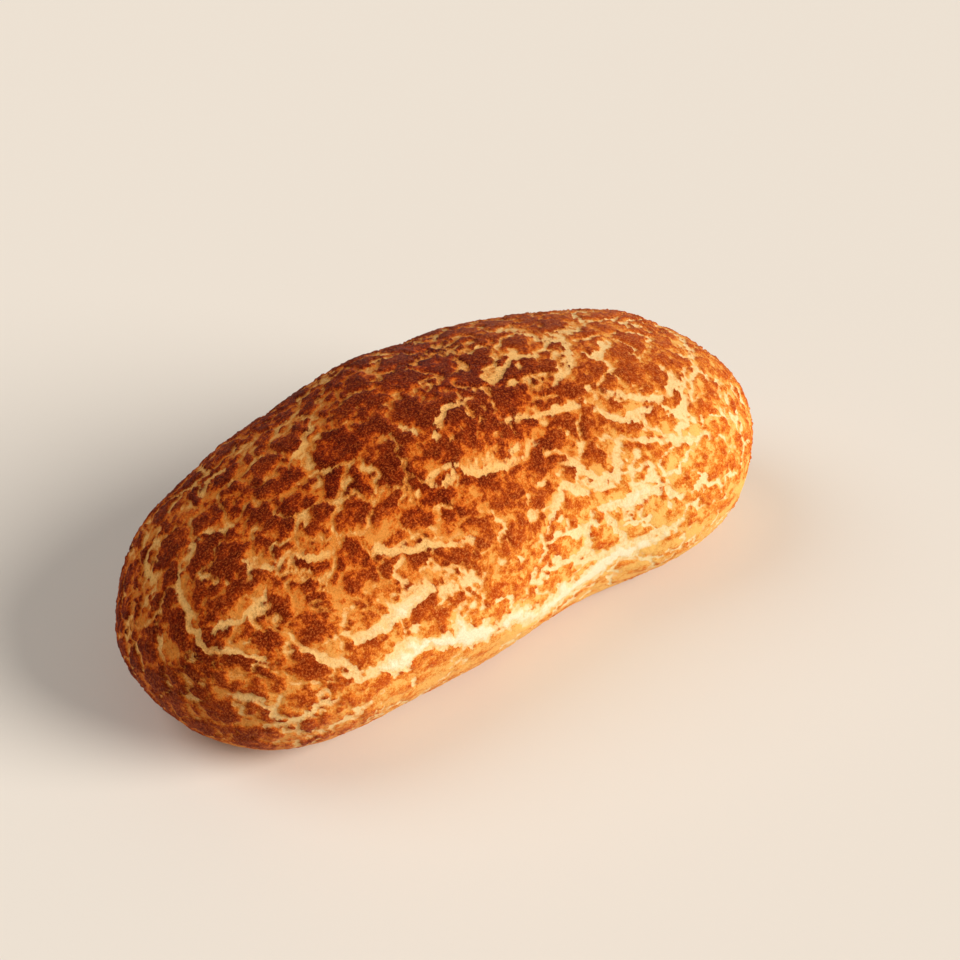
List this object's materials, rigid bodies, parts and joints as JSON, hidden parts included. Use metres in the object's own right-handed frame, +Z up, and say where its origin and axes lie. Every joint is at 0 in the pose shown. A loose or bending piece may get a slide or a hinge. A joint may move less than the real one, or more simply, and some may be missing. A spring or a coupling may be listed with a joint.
{
  "type": "tiger bread loaf",
  "caption": "Long oval loaf of bread with a crackled brown and gold rice-paste crust, torn open along its sides, resting on a flat baked base",
  "frame": {"origin": "middle of the flat baked base, under the middle of the loaf's box", "axes": "+X along the loaf, +Y towards its back side, +Z up"},
  "size_m": [0.2998, 0.1442, 0.1089],
  "materials": {
    "crust": "baked crust, matt and grainy with a faint sheen"
  },
  "bodies": {
    "root": {"loaf": "crust"}
  },
  "joints": []
}
